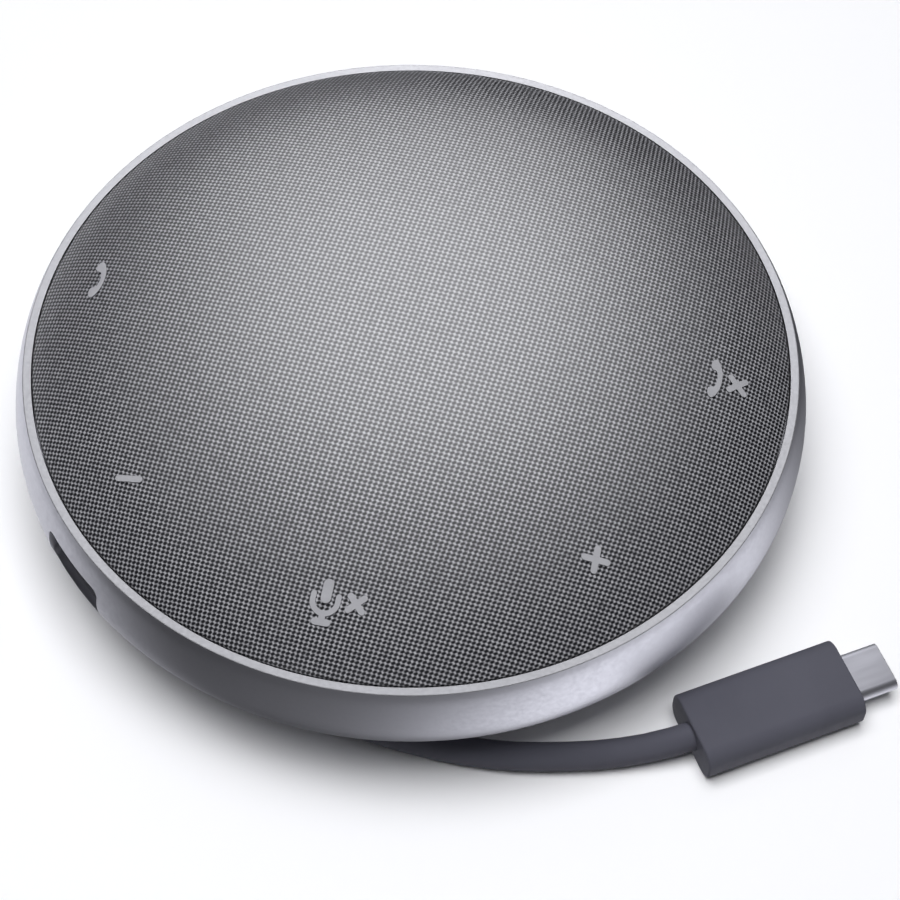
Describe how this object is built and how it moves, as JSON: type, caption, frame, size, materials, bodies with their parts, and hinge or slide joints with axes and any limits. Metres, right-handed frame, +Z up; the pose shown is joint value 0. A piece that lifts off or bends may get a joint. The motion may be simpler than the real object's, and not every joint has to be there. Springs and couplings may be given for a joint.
{
  "type": "conference speakerphone",
  "caption": "Round desk speakerphone with a domed woven top over hidden keys, a satin silver bowl, a side socket and a captive cord with a flat reversible plug.",
  "frame": {"origin": "centre of the foot pad's underside, on the desk", "axes": "+Z up out of the domed top, -Y towards the front where the mute key is, +X to the right"},
  "size_m": [0.1472, 0.1268, 0.0335],
  "materials": {
    "satin_silver": "satin silver",
    "bright_trim": "bright satin",
    "grey_fabric": "open woven cloth",
    "black_plastic": "matte black",
    "black_rubber": "matte black",
    "slate_overmould": "satin slate grey",
    "steel": "bright",
    "nickel_shell": "satin nickel plate",
    "green_board": "green solder mask",
    "paper_cone": "pressed fibre",
    "copper_winding": "enamelled wire",
    "white_plastic": "natural",
    "light_grey_print": "printed film"
  },
  "bodies": {
    "puck": {"outer_housing": "satin_silver", "trim_ring": "bright_trim", "fabric_cover": "grey_fabric", "grille_dome": "black_plastic", "base_cover": "black_plastic", "driver_frame": "black_plastic", "audio_processor": "black_plastic", "plug_insert": "black_plastic", "foot_pad": "black_rubber", "driver_surround": "black_rubber", "driver_seal": "black_rubber", "cord_gland": "black_rubber", "cord": "slate_overmould", "plug_overmould": "slate_overmould", "driver_magnet": "steel", "shield_can": "steel", "driver_screw_1": "steel", "driver_screw_2": "steel", "driver_screw_3": "steel", "driver_screw_4": "steel", "base_screw_1": "steel", "base_screw_2": "steel", "base_screw_3": "steel", "base_screw_4": "steel", "board_screw_1": "steel", "board_screw_2": "steel", "board_screw_3": "steel", "key_board_screw_1": "steel", "key_board_screw_2": "steel", "key_board_screw_3": "steel", "switch_call": "steel", "switch_volume_down": "steel", "switch_mute": "steel", "switch_volume_up": "steel", "switch_end": "steel", "microphone_1": "steel", "microphone_2": "steel", "socket_shell": "nickel_shell", "plug_shell": "nickel_shell", "main_board": "green_board", "key_board": "green_board", "socket_tongue": "white_plastic", "cord_anchor": "white_plastic", "symbol_call_handset": "light_grey_print", "symbol_volume_down": "light_grey_print", "symbol_mute_capsule": "light_grey_print", "symbol_mute_stand": "light_grey_print", "symbol_mute_cross": "light_grey_print", "symbol_volume_up": "light_grey_print", "symbol_end_handset": "light_grey_print", "symbol_end_cross": "light_grey_print"},
    "key_call": {"key_call": "black_rubber"},
    "key_volume_down": {"key_volume_down": "black_rubber"},
    "key_mute": {"key_mute": "black_rubber"},
    "key_volume_up": {"key_volume_up": "black_rubber"},
    "key_end": {"key_end": "black_rubber"},
    "driver_diaphragm": {"driver_cone": "paper_cone", "driver_voice_coil": "copper_winding", "driver_dust_cap": "paper_cone"}
  },
  "joints": [
    {"name": "key_call_travel", "type": "slide", "parent": "puck", "child": "key_call", "axis": [0, 0, 1], "range_m": [-0.00035, 0], "stiffness_N_per_m": 3000},
    {"name": "key_volume_down_travel", "type": "slide", "parent": "puck", "child": "key_volume_down", "axis": [0, 0, 1], "range_m": [-0.00035, 0], "stiffness_N_per_m": 3000},
    {"name": "key_mute_travel", "type": "slide", "parent": "puck", "child": "key_mute", "axis": [0, 0, 1], "range_m": [-0.00035, 0], "stiffness_N_per_m": 3000},
    {"name": "key_volume_up_travel", "type": "slide", "parent": "puck", "child": "key_volume_up", "axis": [0, 0, 1], "range_m": [-0.00035, 0], "stiffness_N_per_m": 3000},
    {"name": "key_end_travel", "type": "slide", "parent": "puck", "child": "key_end", "axis": [0, 0, 1], "range_m": [-0.00035, 0], "stiffness_N_per_m": 3000},
    {"name": "diaphragm_travel", "type": "slide", "parent": "puck", "child": "driver_diaphragm", "axis": [0, 0, 1], "range_m": [-0.001, 0.001], "stiffness_N_per_m": 1500, "deforming": ["driver_surround"]}
  ]
}
